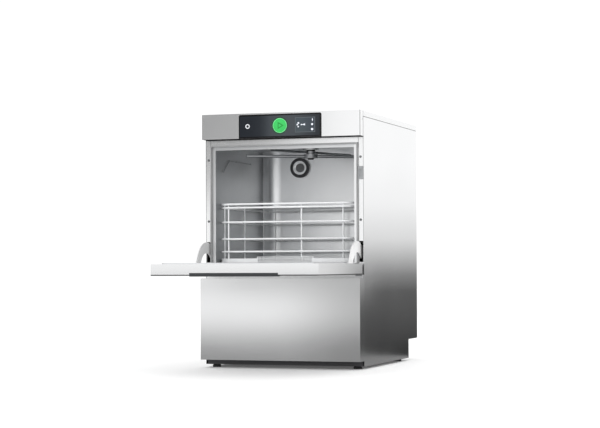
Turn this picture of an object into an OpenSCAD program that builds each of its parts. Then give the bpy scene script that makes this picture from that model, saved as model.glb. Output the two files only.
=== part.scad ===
// Undercounter glasswasher: a free-standing commercial dishwasher with a
// drop-down door, a wire rack and wash and rinse arms above and below it.
// Millimetres, +Z up. The origin is on the floor, in the middle of the object
// with its door open. The front of the machine looks along -Y.
// Modules place their pieces from the face of the lower front panel (y = 0).

/* [Cabinet] */
// Width of the cabinet
body_w = 460; // [450:1:500]
// Depth from the lower front panel to the back
body_d = 590; // [580:1:640]
// Height of the cabinet with its feet
body_h = 700; // [695:1:720]
// Free height under the cabinet
foot_h = 8; // [6:1:12]
// Thickness of the outer steel sheet
sheet = 1.5; // [1:0.1:2]
// Distance from the lower front panel back to the front frame
frame_y = 41; // [40:1:44]
// Depth of the notch at the bottom of the back
notch_d = 98; // [80:1:110]
// Height of the notch above the floor
notch_z = 64; // [60:1:70]
// Height of the flange round the lid
lid_flange = 15; // [10:1:18]

/* [Lower front panel] */
// Bottom edge of the lower front panel
panel_z0 = 22.5; // [20:0.5:30]
// Top edge of the lower front panel
panel_z1 = 246.5; // [240:0.5:246.5]

/* [Controls] */
// Bottom edge of the control fascia
fascia_z = 631; // [631:1:636]
// Setback of the fascia from the lower front panel
fascia_y = 12; // [8:1:16]
// Width of the dark glass
glass_w = 240; // [220:1:260]
// Top edge of the dark glass
glass_z1 = 696; // [690:1:698]
// Height of the middle of the buttons
button_z = 664; // [660:0.5:668]
// Radius of the start button
start_r = 18.7; // [15:0.1:24]
// Radius of the power button
power_r = 3.5; // [3:0.5:6]
// Sideways place of the power button
power_x = -94; // [-105:1:-70]
// Travel of a button
button_travel = 1.5; // [1:0.5:2]

/* [Wash chamber] */
// Clear width of the chamber
chamber_w = 404; // [402:1:408]
// Height of the chamber's bottom lip
chamber_z0 = 287; // [287:1:288]
// Height of the opening's top lip
opening_z1 = 602; // [590:1:606]
// Height of the ceiling
ceiling_z = 618; // [614:1:622]
// Distance from the lower front panel to the back wall
back_y = 470; // [466:1:474]
// Thickness of the chamber's sheet
liner = 1.2; // [1:0.1:1.5]
// Underside of the wash tank
tank_z = 130; // [126:1:134]

/* [Door] */
// Width of the door
door_w = 455; // [450:0.5:456]
// Height of the door's hinge axis
hinge_z = 270; // [269:0.5:271]
// Distance of the hinge axis behind the lower front panel
hinge_y = 14; // [13:0.5:15]
// Reach of the open door in front of the lower front panel
door_reach = 344; // [340:1:346]
// Thickness of the door
door_t = 30; // [28:1:30]
// Width of the grip strip
grip_w = 240; // [200:1:280]

/* [Rack] */
// Width and depth of the wire rack
rack_size = 400; // [390:1:400]
// Height of the rack's underside above the floor
rack_z = 290; // [290:0.5:292]
// Radius of the rack's corners
rack_corner = 40; // [30:1:60]
// Radius of the rail wires
wire_r = 2.6; // [2:0.1:3]

/* [Arms] */
// Reach of the wash arms from their axis
wash_reach = 188; // [170:1:189]
// Reach of the rinse arms from their axis
rinse_reach = 172; // [140:1:190]
// Angle of the upper wash arm at rest
arm_angle = 28; // [0:1:180]

/* [Hidden] */
$fn = 48;
front_y = -(body_d - door_reach) / 2;
half_w = body_w / 2;
lid_z = body_h - lid_flange;
inner_w = half_w - sheet;
frame_gap = 0.1;
notch_y = body_d - notch_d;
chamber_x = chamber_w / 2;
lip_w = 10;
lip_y = frame_y + 3;
groove_w = 2.7;
opening_x = chamber_x + lip_w + groove_w;
bend_r = 43;
arm_y = 278;
seal_w = 2;
slot_x = [216.4, 227.6];
slot_z = [290, 347];
screw_spots = [[-221, 404.5], [-221, 575], [221, 404.5], [221, 575]];
foot_x = 205;
foot_y = [60, 455];
base_h = 14;

// Heights in the wash system, from the top down
upper_rinse_z = 606;
upper_wash_z = 595;
rack_rail_z = [320, 355, 402, 442, 452];
lower_rinse_z = 265;
lower_wash_z = 254;
strainer_z = 232;
wash_hub_h = 11;
rinse_hub_h = 7;
spindle_r = 8;
running_gap = 0.05;

// Door in the open position: x is its half width, y and z its edges
door_x = door_w / 2;
door_y0 = -door_reach;
door_y1 = hinge_y + 18;
door_z0 = hinge_z - hinge_y;
door_z1 = door_z0 + door_t;
skin = 1.2;
web_x = [206, 208];
pocket_x = [209, 219];
pin_r = 4;
arc_r = [46.5, 76];
arc_x = [217, 220];
grip_z = [door_z0 - 2, door_z0 + 7];

// Rack in the chamber
rack_y = frame_y + 9;
rack_x = rack_size / 2;
front_posts = [-168, 46, 166];
side_posts = [36, 200, 364];

// Services at the back
inlet_x = -150;
drain_x = -60;
gland_x = 120;
service_z = 36;
inlet_r = 13.2;
drain_r = 12.5;
gland_bore_r = 5;
filter_x = 105;
filter_y = 350;

// ---- helpers ----

// Moves pieces placed from the lower front panel into the object's frame
module in_cabinet() {
    translate([0, front_y, 0]) children();
}

// A box given by its lowest and highest corners
module block(low, high) {
    translate(low) cube(high - low);
}

// Copies of a child on the left and the right side
module both_sides() {
    children();
    mirror([1, 0, 0]) children();
}

// A rod between two heights
module rod_z(r, x, y, z0, z1) {
    translate([x, y, z0]) cylinder(r = r, h = z1 - z0);
}

// A rod along +X
module rod_x(r, x0, x1, y, z) {
    translate([x0, y, z]) rotate([0, 90, 0]) cylinder(r = r, h = x1 - x0);
}

// A rod along +Y
module rod_y(r, x, y0, y1, z) {
    translate([x, y0, z]) rotate([-90, 0, 0]) cylinder(r = r, h = y1 - y0);
}

// A rectangle about the origin with round corners
module round_rect(w, d, r) {
    square([w - 2 * r, d], center = true);
    square([w, d - 2 * r], center = true);
    for (sx = [-1, 1], sy = [-1, 1])
        translate([sx * (w / 2 - r), sy * (d / 2 - r)]) circle(r);
}

// A profile drawn in Y and Z, drawn out along X between x0 and x1
module along_x(x0, x1) {
    translate([x0, 0, 0]) rotate([90, 0, 90]) linear_extrude(x1 - x0) children();
}

// A profile drawn in X and Z, drawn out along +Y between y0 and y1
module along_y(y0, y1) {
    translate([0, y1, 0]) rotate([90, 0, 0]) linear_extrude(y1 - y0) children();
}

// Straight pipe runs that meet in round elbows
module pipe_run(points, r) {
    for (i = [0 : len(points) - 2]) {
        p = points[i];
        d = points[i + 1] - p;
        way = d / norm(d);
        turn = way.z != 0 ? (way.z > 0 ? [0, 0, 0] : [180, 0, 0])
             : way.x != 0 ? [0, 90 * sign(way.x), 0]
             : [-90 * sign(way.y), 0, 0];
        translate(p) rotate(turn) cylinder(r = r, h = norm(d));
        if (i > 0) translate(p) sphere(r);
    }
}

// ---- cabinet ----

module base_tray() {
    color("dimgray") in_cabinet() difference() {
        block([-225, frame_y + 1.6, foot_h], [225, notch_y - 8, foot_h + base_h]);
        block([-223, frame_y + 3.6, foot_h + 2], [223, notch_y - 10, foot_h + base_h + 1]);
        for (x = [-foot_x, foot_x], y = foot_y) rod_z(5.05, x, y, foot_h - 1, foot_h + 3);
    }
}

module feet() {
    color("black") in_cabinet() for (x = [-foot_x, foot_x], y = foot_y) {
        rod_z(12, x, y, 0, 5);
        translate([x, y, 5]) cylinder(r1 = 12, r2 = 9, h = foot_h - 5);
        rod_z(5, x, y, foot_h - 1, foot_h + 12);
    }
}

module lower_front_panel() {
    color("lightgray") in_cabinet() difference() {
        block([-half_w, 0, panel_z0], [half_w, frame_y, panel_z1]);
        block([-inner_w, sheet, panel_z0 + sheet], [inner_w, frame_y + 1, panel_z1 - sheet]);
        block([-inner_w, frame_y - 4, panel_z0 - 1], [inner_w, frame_y + 1, panel_z1 + 1]);
    }
}

module side_panel(side) {
    color("silver") in_cabinet() along_x(side * (half_w - sheet / 2) - sheet / 2,
                                         side * (half_w - sheet / 2) + sheet / 2)
        polygon([[frame_y, foot_h], [notch_y, foot_h], [notch_y, notch_z], [body_d, notch_z],
                 [body_d, lid_z - 0.6], [frame_y, lid_z - 0.6]]);
}

module side_panel_left() { side_panel(-1); }

module side_panel_right() { side_panel(1); }

module rear_panel() {
    vent_rows = 7;
    color("silver") in_cabinet() difference() {
        block([-inner_w + frame_gap, body_d - 1 - sheet, notch_z + 0.4],
              [inner_w - frame_gap, body_d - 1, lid_z - 0.6]);
        for (row = [0 : vent_rows - 1], side = [-1, 1])
            block([side * 110 - 50, body_d - 5, 100 + 12 * row],
                  [side * 110 + 50, body_d + 1, 104 + 12 * row]);
        for (x = [-215, 215], z = [90, 380, 670]) rod_y(1.8, x, body_d - 5, body_d + 1, z);
    }
}

module connection_plate() {
    color("darkgray") in_cabinet() difference() {
        along_x(-inner_w + frame_gap, inner_w - frame_gap)
            polygon([[notch_y - sheet, foot_h], [notch_y, foot_h],
                     [notch_y, notch_z - sheet], [body_d - 1, notch_z - sheet],
                     [body_d - 1, notch_z], [notch_y - sheet, notch_z]]);
        rod_y(inlet_r - 0.9, inlet_x, notch_y - 5, notch_y + 5, service_z);
        rod_y(drain_r - 0.9, drain_x, notch_y - 5, notch_y + 5, service_z);
        rod_y(8, gland_x, notch_y - 5, notch_y + 5, service_z);
    }
}

module top_lid() {
    color("whitesmoke") in_cabinet() difference() {
        block([-half_w, frame_y, lid_z], [half_w, body_d, body_h]);
        block([-inner_w, frame_y - 1, lid_z - 1], [inner_w, body_d - sheet, body_h - sheet]);
    }
}

module front_frame() {
    color("gainsboro") in_cabinet() along_y(frame_y, frame_y + sheet) difference() {
        translate([-inner_w + frame_gap, foot_h + base_h + 0.3])
            square([2 * (inner_w - frame_gap), lid_z - 1 - foot_h - base_h - 0.3]);
        translate([-opening_x, 262])
            square([2 * opening_x, opening_z1 + lip_w + groove_w - 262]);
        translate([-190, 60]) square([380, 175]);
        translate([-100, 645]) square([200, 30]);
        for (side = [-1, 1]) {
            translate([side * (opening_x + 0.5) - 0.5, opening_z1]) square([1, 40]);
            translate([side > 0 ? slot_x[0] : -slot_x[1], slot_z[0]])
                square([slot_x[1] - slot_x[0], slot_z[1] - slot_z[0]]);
        }
        for (p = screw_spots) translate(p) circle(1.7);
    }
}

// ---- controls ----

module glass_outline(gap) {
    w = glass_w + 2 * gap;
    h = glass_z1 - fascia_z - 0.5 + gap;
    r = 5;
    translate([-w / 2, fascia_z + 0.5]) {
        square([w, h - r]);
        translate([r, 0]) square([w - 2 * r, h]);
        for (x = [r, w - r]) translate([x, h - r]) circle(r);
    }
}

module control_fascia() {
    color("lightgray") in_cabinet() difference() {
        block([-229, fascia_y, fascia_z], [229, frame_y - 0.3, body_h]);
        block([-229 + sheet, fascia_y + sheet, fascia_z + sheet],
              [229 - sheet, frame_y + 1, body_h - sheet]);
        along_y(fascia_y - 1, fascia_y + sheet + 1) glass_outline(0.2);
        block([-glass_w / 2 - 0.2, fascia_y - 1, fascia_z - 1],
              [glass_w / 2 + 0.2, fascia_y + 4, fascia_z + sheet + 1]);
        for (span = [[-224, -186.5], [-180.5, 175], [181, 224]])
            block([span[0], fascia_y + 4, fascia_z - 1], [span[1], frame_y, fascia_z + sheet + 1]);
        for (side = [-1, 1])
            rod_x(1.7, side * 228 - 3, side * 228 + 3, frame_y - 9, button_z + 12);
    }
}

module control_glass() {
    color([0.06, 0.07, 0.11]) in_cabinet() difference() {
        along_y(fascia_y, fascia_y + 3) glass_outline(0);
        rod_y(start_r + 0.3, 0, fascia_y - 1, fascia_y + 4, button_z);
        rod_y(power_r + 0.3, power_x, fascia_y - 1, fascia_y + 4, button_z);
        block([43.3, fascia_y - 1, 643.3], [101.9, fascia_y + 4, 685.4]);
    }
}

module display_screen() {
    color([0.2, 0.24, 0.32]) in_cabinet()
        block([43.5, fascia_y + 0.2, 643.5], [101.7, fascia_y + 4, 685.2]);
}

module control_board() {
    color("darkgreen") in_cabinet() {
        block([-112, frame_y - 12, 638], [112, frame_y - 10.4, 692]);
        for (x = [-80, -50, 55, 85]) block([x - 8, frame_y - 10.4, 650], [x + 8, frame_y - 8, 662]);
        for (x = [-30, 30]) rod_y(4, x, frame_y - 10.4, frame_y - 3, 680);
    }
}

module bezel(r_in, r_out, x) {
    difference() {
        rod_y(r_out, x, fascia_y - 0.6, fascia_y, button_z);
        rod_y(r_in, x, fascia_y - 1, fascia_y + 1, button_z);
    }
}

module button_bezels() {
    color("white") in_cabinet() {
        bezel(start_r + 0.3, start_r + 1.2, 0);
        bezel(power_r + 0.3, power_r + 3.5, power_x);
    }
}

module push_button(r, x) {
    in_cabinet() {
        rod_y(r, x, fascia_y - 1.1, fascia_y + 7, button_z);
        rod_y(r + 2, x, fascia_y + 5, fascia_y + 7, button_z);
        rod_y(2, x, fascia_y + 7, fascia_y + 13, button_z);
    }
}

module start_button() { color("limegreen") push_button(start_r, 0); }

module power_button() { color("black") push_button(power_r, power_x); }

// ---- wash chamber ----

module chamber_side(side) {
    color("silver") in_cabinet() mirror([side > 0 ? 1 : 0, 0, 0]) {
        block([-chamber_x - liner, lip_y, 262],
              [-chamber_x, back_y - bend_r, ceiling_z + liner]);
        block([-chamber_x - lip_w, lip_y, chamber_z0],
              [-chamber_x, lip_y + 1, opening_z1 + lip_w]);
    }
}

module chamber_left_wall() { chamber_side(-1); }

module chamber_right_wall() { chamber_side(1); }

module chamber_back_wall() {
    boss_x = -97;
    boss_z = 574;
    color("silver") in_cabinet() {
        translate([0, 0, 262]) linear_extrude(ceiling_z - 262) intersection() {
            translate([0, back_y - 50]) difference() {
                round_rect(2 * (chamber_x + liner), 100 + 2 * liner, bend_r + liner);
                round_rect(2 * chamber_x, 100, bend_r);
            }
            translate([-half_w, back_y - bend_r]) square([body_w, 2 * bend_r]);
        }
        difference() {
            rod_y(30, boss_x, back_y - 9, back_y, boss_z);
            rod_y(16.5, boss_x, back_y - 10, back_y - 3, boss_z);
        }
        rod_y(13, boss_x, back_y - 7, back_y, boss_z);
    }
}

module chamber_ceiling() {
    y1 = frame_y + 10;
    top = opening_z1 + lip_w;
    color("silver") in_cabinet() difference() {
        along_x(-chamber_x, chamber_x)
            polygon([[lip_y, top], [lip_y, opening_z1], [y1, opening_z1],
                     [y1, ceiling_z], [back_y, ceiling_z], [back_y, ceiling_z + liner],
                     [y1 - liner, ceiling_z + liner], [y1 - liner, opening_z1 + liner],
                     [lip_y + liner, opening_z1 + liner], [lip_y + liner, top]]);
        rod_z(10, 0, arm_y, ceiling_z - 5, ceiling_z + 5);
    }
}

module wash_tank() {
    color("silver") in_cabinet() {
        difference() {
            block([-chamber_x - liner, frame_y + 2, tank_z],
                  [chamber_x + liner, back_y + liner, 262]);
            block([-chamber_x, frame_y + 2 + liner, tank_z + liner], [chamber_x, back_y, 263]);
            rod_z(10, 0, arm_y, tank_z - 1, tank_z + 5);
            rod_z(16.5, filter_x, filter_y, tank_z - 1, tank_z + 5);
        }
        block([-chamber_x, frame_y + 2, 262], [chamber_x, frame_y + 2 + liner, chamber_z0]);
        block([-chamber_x, frame_y - 1, chamber_z0 - liner],
              [chamber_x, frame_y + 2, chamber_z0]);
        for (side = [-1, 1])
            block([side * 197 - 5, frame_y + 10, strainer_z - 3],
                  [side * 197 + 5, back_y - 6, strainer_z]);
    }
}

// A frame round the chamber's mouth, its three legs between two offsets from the mouth
module mouth_frame(inner, outer) {
    difference() {
        translate([-chamber_x - outer, chamber_z0])
            square([2 * (chamber_x + outer), opening_z1 + outer - chamber_z0]);
        translate([-chamber_x - inner, chamber_z0 - 1])
            square([2 * (chamber_x + inner), opening_z1 + inner - chamber_z0 + 1]);
    }
}

// Rubber seal: a foot that reaches behind the door's liner, and a thin leg into the groove
module door_gasket() {
    color([0.5, 0.5, 0.5]) in_cabinet() {
        along_y(frame_y - 8, frame_y + 2) mouth_frame(lip_w - 1, lip_w + seal_w);
        along_y(frame_y + 2, lip_y + 1) mouth_frame(lip_w + 0.02, lip_w + seal_w);
    }
}

module rack_rails() {
    color("silver") in_cabinet() both_sides() {
        block([180, rack_y + 2, rack_z - 2.3], [chamber_x, back_y - bend_r, rack_z - 0.3]);
        block([chamber_x - 1.5, rack_y + 2, rack_z - 20],
              [chamber_x, back_y - bend_r, rack_z - 2.3]);
    }
}

module sensor_wire() {
    x = -chamber_x + 3.5;
    r = 1.3;
    low = [x, 96, 545];
    knee = [x, 142, 579];
    end = [x, 318, 579];
    color("gray") in_cabinet() {
        for (leg = [[low, knee], [knee, end]]) {
            d = leg[1] - leg[0];
            translate(leg[0]) rotate([-atan2(d.y, d.z), 0, 0]) cylinder(r = r, h = norm(d));
        }
        for (p = [low, knee]) translate(p) sphere(r + 0.3);
        for (y = [200, 316]) block([-chamber_x, y - 2, 577], [x, y + 2, 581]);
    }
}

module screw_y(x, z, y, way) {
    rod_y(3.4, x, way > 0 ? y : y - 1, way > 0 ? y + 1 : y, z);
    rod_y(1.5, x, way > 0 ? y - 5 : y, way > 0 ? y : y + 5, z);
}

module panel_screws() {
    color("gray") in_cabinet() {
        for (p = screw_spots) screw_y(p.x, p.y, frame_y, -1);
        for (x = [-215, 215], z = [90, 380, 670]) screw_y(x, z, body_d - 1, 1);
        for (side = [-1, 1])
            rod_x(1.5, side * 225.5 - 3.5, side * 225.5 + 3.5, frame_y - 9, button_z + 12);
    }
}

module door_catch() {
    color("gray") in_cabinet() difference() {
        block([215, frame_y - 4, 514], [inner_w - frame_gap, frame_y, 549.5]);
        block([219, frame_y - 5, 522], [225, frame_y - 2, 541]);
    }
}

// ---- wash system ----

module tank_strainer() {
    rows = 16;
    color("silver") in_cabinet() translate([0, 0, strainer_z]) linear_extrude(liner)
        difference() {
            translate([-200, frame_y + 12]) square([400, back_y - frame_y - 20]);
            translate([0, arm_y]) circle(17);
            translate([filter_x, filter_y]) circle(46);
            for (row = [0 : rows - 1], side = [-1, 1]) {
                x = side > 0 ? 168 : -188;
                translate([x, 70 + 24 * row]) square([20, 12]);
            }
            for (row = [0 : rows - 1], x = [-150, -110, -70])
                translate([x, 70 + 24 * row]) square([24, 12]);
            for (row = [0 : 8], x = [30, 70, 110])
                translate([x, 70 + 24 * row]) square([24, 12]);
        }
}

module filter_cylinder() {
    color("gainsboro") in_cabinet() difference() {
        union() {
            rod_z(45, filter_x, filter_y, 150, strainer_z + liner);
            rod_z(52, filter_x, filter_y, strainer_z + liner, strainer_z + 4);
        }
        rod_z(43.5, filter_x, filter_y, 152, strainer_z + 5);
        rod_z(17, filter_x, filter_y, 149, 153);
    }
}

module overflow_pipe() {
    color("lightgray") in_cabinet() difference() {
        union() {
            rod_z(16, filter_x, filter_y, tank_z - 12, strainer_z - 4);
            rod_z(22, filter_x, filter_y, tank_z + liner, tank_z + liner + 4);
        }
        rod_z(13.5, filter_x, filter_y, tank_z - 13, strainer_z - 3);
    }
}

module tank_heater() {
    z = tank_z + 25;
    x0 = -165;
    x1 = -105;
    turn_y = 150;
    plate_y = back_y - 4;
    color("dimgray") in_cabinet() {
        for (x = [x0, x1]) rod_y(4, x, turn_y, plate_y, z);
        translate([(x0 + x1) / 2, turn_y, z]) rotate([0, 0, 180])
            rotate_extrude(angle = 180) translate([(x1 - x0) / 2, 0]) circle(4);
        block([x0 - 10, plate_y, z - 18], [x1 + 10, back_y, z + 18]);
    }
}

module upper_hub() {
    color("silver") in_cabinet() {
        rod_z(spindle_r, 0, arm_y, upper_wash_z - wash_hub_h / 2, ceiling_z + liner);
        rod_z(24, 0, arm_y, ceiling_z - 5, ceiling_z);
        block([-22, arm_y - 22, ceiling_z + liner], [22, arm_y + 22, 668]);
    }
}

module lower_hub() {
    color("silver") in_cabinet() {
        rod_z(14, 0, arm_y, tank_z + liner, lower_wash_z - wash_hub_h / 2 - 0.5);
        rod_z(spindle_r, 0, arm_y, 118, lower_rinse_z + rinse_hub_h / 2 + 0.5);
        block([-20, arm_y - 18, 60], [20, arm_y + 18, tank_z]);
    }
}

module arm_nuts() {
    color("dimgray") in_cabinet() {
        translate([0, arm_y, upper_wash_z - wash_hub_h / 2 - 4])
            cylinder(r1 = 8, r2 = 9.5, h = 4);
        rod_z(15, 0, arm_y, lower_rinse_z + rinse_hub_h / 2 + 0.5,
              lower_rinse_z + rinse_hub_h / 2 + 6);
        difference() {
            rod_z(12.5, 0, arm_y, upper_rinse_z + rinse_hub_h / 2 + 0.5, ceiling_z - 5);
            rod_z(spindle_r + running_gap, 0, arm_y, upper_rinse_z, ceiling_z);
        }
    }
}

// A spray arm turning about Z; way is the side on which its nozzles are
module spray_arm(reach, r, hub_r, hub_h, way, nozzles) {
    difference() {
        union() {
            cylinder(r = hub_r, h = hub_h, center = true);
            rotate([0, 90, 0]) cylinder(r = r, h = 2 * (reach - r), center = true);
            for (side = [-1, 1]) translate([side * (reach - r), 0, 0]) sphere(r);
            for (side = [-1, 1], i = [1 : nozzles])
                translate([side * (hub_r + (reach - hub_r - 10) * i / nozzles), 0, 0])
                    mirror([0, 0, way > 0 ? 0 : 1]) cylinder(r1 = 2.4, r2 = 1.4, h = r + 0.7);
        }
        cylinder(r = spindle_r + running_gap, h = hub_h + 10, center = true);
    }
}

module at_arm(z, angle) {
    in_cabinet() translate([0, arm_y, z]) rotate([0, 0, angle]) children();
}

module upper_wash_arm() {
    color("silver") at_arm(upper_wash_z, arm_angle)
        spray_arm(wash_reach, 4.5, 20, wash_hub_h, -1, 6);
}

module upper_rinse_arm() {
    color("silver") at_arm(upper_rinse_z, arm_angle + 37)
        spray_arm(rinse_reach, 3.5, 14, rinse_hub_h, -1, 5);
}

module lower_wash_arm() {
    color("silver") at_arm(lower_wash_z, arm_angle + 60)
        spray_arm(wash_reach, 4.5, 20, wash_hub_h, 1, 6);
}

module lower_rinse_arm() {
    color("silver") at_arm(lower_rinse_z, arm_angle + 35)
        spray_arm(rinse_reach, 3.5, 14, rinse_hub_h, 1, 5);
}

module wash_pump() {
    color("dimgray") in_cabinet() {
        rod_x(40, 60, 100, 380, 75);
        rod_y(14, 80, 330, 380, 75);
        rod_y(14, 80, 380, 430, 90);
        rod_x(34, -60, 60, 380, 75);
        rod_x(30, -70, -60, 380, 75);
        for (x = [-40, 30]) block([x, 350, foot_h + 2], [x + 12, 410, 50]);
    }
}

module wash_pipes() {
    color("black") in_cabinet() {
        pipe_run([[80, 330, 75], [80, arm_y, 75], [20, arm_y, 75]], 11);
        pipe_run([[80, 430, 90], [80, 502, 90], [175, 502, 90], [175, 502, 634],
                  [0, 502, 634], [0, arm_y + 22, 634]], 11);
    }
}

module rinse_boiler() {
    color("lightgray") in_cabinet() {
        difference() {
            rod_x(50, -160, 120, 530, 200);
            rod_x(48.5, -158.5, 118.5, 530, 200);
            rod_z(3.5, -100, 530, 240, 255);
            rod_z(3.5, -130, 530, 145, 160);
        }
        rod_x(22, -172, -160, 530, 200);
        rod_x(30, 120, 132, 530, 200);
    }
}

module rinse_pipes() {
    color("gray") in_cabinet() {
        pipe_run([[-100, 530, 250], [-100, 530, 655], [-100, arm_y, 655], [-22, arm_y, 655]], 5);
        pipe_run([[-130, 530, 150], [-130, 530, 104], [-130, arm_y, 104], [-20, arm_y, 104]], 5);
    }
}

module drain_pump() {
    color("black") in_cabinet() {
        rod_z(24, drain_x, 450, foot_h + 2, 62);
        rod_z(18, drain_x, 450, 62, 96);
        rod_y(9, drain_x, 470, 480, service_z);
    }
}

module dosing_pumps() {
    color("dimgray") in_cabinet() for (y = [90, 160]) {
        block([-205, y, foot_h + 2], [-165, y + 45, 62]);
        rod_x(18, -165, -150, y + 22, 40);
    }
}

module inlet_valve() {
    color("white") in_cabinet() {
        block([inlet_x - 14, 430, foot_h + 8], [inlet_x + 14, 478, 52]);
        rod_z(12, inlet_x, 446, 52, 88);
    }
}

module water_inlet() {
    color("darkgoldenrod") in_cabinet() difference() {
        union() {
            rod_y(inlet_r - 1.5, inlet_x, 478, notch_y + 1, service_z);
            rod_y(inlet_r, inlet_x, notch_y + 1, notch_y + 19, service_z);
            rod_y(16, inlet_x, notch_y - 6, notch_y - sheet, service_z);
        }
        rod_y(8, inlet_x, 482, notch_y + 20, service_z);
    }
}

module drain_outlet() {
    color("black") in_cabinet() difference() {
        union() {
            rod_y(drain_r - 1.5, drain_x, 480, notch_y + 1, service_z);
            rod_y(drain_r, drain_x, notch_y + 1, notch_y + 25, service_z);
            rod_y(16, drain_x, notch_y - 6, notch_y - sheet, service_z);
        }
        rod_y(9.5, drain_x, 482, notch_y + 26, service_z);
    }
}

module cable_gland() {
    color("black") in_cabinet() difference() {
        union() {
            rod_y(7.8, gland_x, notch_y - 12, notch_y + 10, service_z);
            translate([gland_x, notch_y, service_z]) rotate([-90, 0, 0])
                cylinder(r = 12, h = 7, $fn = 6);
            rod_y(9.5, gland_x, notch_y + 7, notch_y + 18, service_z);
            translate([gland_x, notch_y - sheet - 5, service_z]) rotate([-90, 0, 0])
                cylinder(r = 12, h = 5, $fn = 6);
        }
        rod_y(gland_bore_r, gland_x, notch_y - 13, notch_y + 19, service_z);
    }
}

// ---- door ----

// Room in the door's hinge end for the bracket on each side
module hinge_pockets() {
    both_sides() {
        block([pocket_x[0], hinge_y - 10, hinge_z - 10], [pocket_x[1], door_y1 + 1, door_z1 + 5]);
    }
}

module door_outer_panel() {
    color("whitesmoke") in_cabinet() {
        difference() {
            block([-door_x, door_y0, door_z0], [door_x, door_y1, door_z1]);
            block([-door_x + skin, door_y0 + skin, door_z0 + skin],
                  [door_x - skin, door_y1 - skin, door_z1 + 1]);
            hinge_pockets();
            block([-grip_w / 2 - 0.2, door_y0 - 1, door_z0 - 1],
                  [grip_w / 2 + 0.2, door_y0 + 14, grip_z[1] + 0.2]);
        }
        both_sides() difference() {
            block([web_x[0], hinge_y - 12, door_z0 + skin],
                  [web_x[1], door_y1 - skin, door_z1 - skin]);
            rod_x(pin_r + running_gap, web_x[0] - 1, web_x[1] + 1, hinge_y, hinge_z);
        }
    }
}

module door_inner_liner() {
    raise = 3;
    edge = skin + 0.1;
    flat_x = door_x - edge;
    panel_w = 420;
    panel_y = [door_y0 + 22, -33];
    middle_y = (panel_y[0] + panel_y[1]) / 2;
    color("silver") in_cabinet() difference() {
        union() {
            block([-flat_x, door_y0 + edge, door_z1 - skin], [flat_x, door_y1 - edge, door_z1]);
            translate([0, middle_y, door_z1 - skin]) linear_extrude(raise + skin)
                round_rect(panel_w, panel_y[1] - panel_y[0], 14);
        }
        translate([0, middle_y, door_z1 - 2 * skin]) linear_extrude(raise + skin)
            round_rect(panel_w - 2 * skin, panel_y[1] - panel_y[0] - 2 * skin, 14 - skin);
        hinge_pockets();
    }
}

module door_handle() {
    color([0.15, 0.16, 0.17]) in_cabinet() difference() {
        block([-grip_w / 2, door_y0, grip_z[0]], [grip_w / 2, door_y0 + 13.8, grip_z[1]]);
        block([-grip_w / 2 + 6, door_y0 + 4, grip_z[0] - 1],
              [grip_w / 2 - 6, door_y0 + 10, grip_z[1] - 2]);
    }
}

module hinge_arm() {
    foot_y = [-62, -36];
    in_cabinet() {
        intersection() {
            difference() {
                rod_x(arc_r[1], arc_x[0], arc_x[1], hinge_y, hinge_z);
                rod_x(arc_r[0], arc_x[0] - 1, arc_x[1] + 1, hinge_y, hinge_z);
            }
            block([arc_x[0] - 1, -80, door_z1], [arc_x[1] + 1, 100, 400]);
            along_x(arc_x[0] - 1, arc_x[1] + 1)
                polygon([[hinge_y, hinge_z], [hinge_y + 120 * cos(40), hinge_z + 120 * sin(40)],
                         [hinge_y, hinge_z + 140], [hinge_y - 140, hinge_z + 140],
                         [hinge_y - 140, hinge_z]]);
        }
        block([215, foot_y[0], door_z1], [arc_x[1] + 1, foot_y[1], door_z1 + 2.5]);
        rod_x(3, 207, arc_x[0] + 1, hinge_y + 43, hinge_z + 43);
    }
}

module hinge_arm_left() { color("whitesmoke") mirror([1, 0, 0]) hinge_arm(); }

module hinge_arm_right() { color("whitesmoke") hinge_arm(); }

module hinge_pins() {
    color("dimgray") in_cabinet() both_sides() {
        rod_x(pin_r, web_x[0], door_x - skin, hinge_y, hinge_z);
        rod_x(6.5, door_x - skin - 2, door_x - skin, hinge_y, hinge_z);
    }
}

module hinge_brackets() {
    arm_x = [212, 216];
    color("dimgray") in_cabinet() both_sides() {
        block([206, frame_y - 2, 252], [224, frame_y, 261.8]);
        block([arm_x[0], frame_y - 2, 261.8], [arm_x[1], frame_y, 278]);
        difference() {
            union() {
                block([arm_x[0], hinge_y, hinge_z - 8], [arm_x[1], frame_y - 2, hinge_z + 8]);
                rod_x(8, arm_x[0], arm_x[1], hinge_y, hinge_z);
            }
            rod_x(pin_r + running_gap, arm_x[0] - 1, arm_x[1] + 1, hinge_y, hinge_z);
        }
    }
}

module door_springs() {
    y = hinge_y + 43;
    top = hinge_z + 43 - 3.2;
    bottom = 60;
    turns = 12;
    color("gray") in_cabinet() both_sides() translate([211, y, bottom]) {
        translate([0, 0, 10])
            linear_extrude(top - bottom - 20, twist = -360 * turns, slices = 8 * turns,
                           segments = 6, $fn = 6)
                translate([4, 0]) circle(1.2, $fn = 6);
        cylinder(r = 5.4, h = 10.5);
        translate([0, 0, top - bottom - 10.5]) cylinder(r = 5.4, h = 10.5);
    }
}

// ---- rack ----

// One end of the rack: rails with their two round corners, and posts
module rack_end() {
    straight = rack_size - 2 * rack_corner;
    bend = rack_corner - wire_r;
    for (z = rack_rail_z) translate([0, 0, z]) {
        rod_x(wire_r, -straight / 2, straight / 2, wire_r, 0);
        for (side = [-1, 1])
            translate([side * straight / 2, rack_corner, 0])
                rotate([0, 0, side > 0 ? 270 : 180])
                    rotate_extrude(angle = 90) translate([bend, 0]) circle(wire_r);
    }
}

module rack_posts(list) {
    for (x = list) rod_z(2, x, 2 * wire_r + 1.4, rack_z, rack_rail_z[4] + 1);
}

module rack_front() {
    color("white") in_cabinet() translate([0, rack_y, 0]) {
        rack_end();
        rack_posts(front_posts);
    }
}

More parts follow.
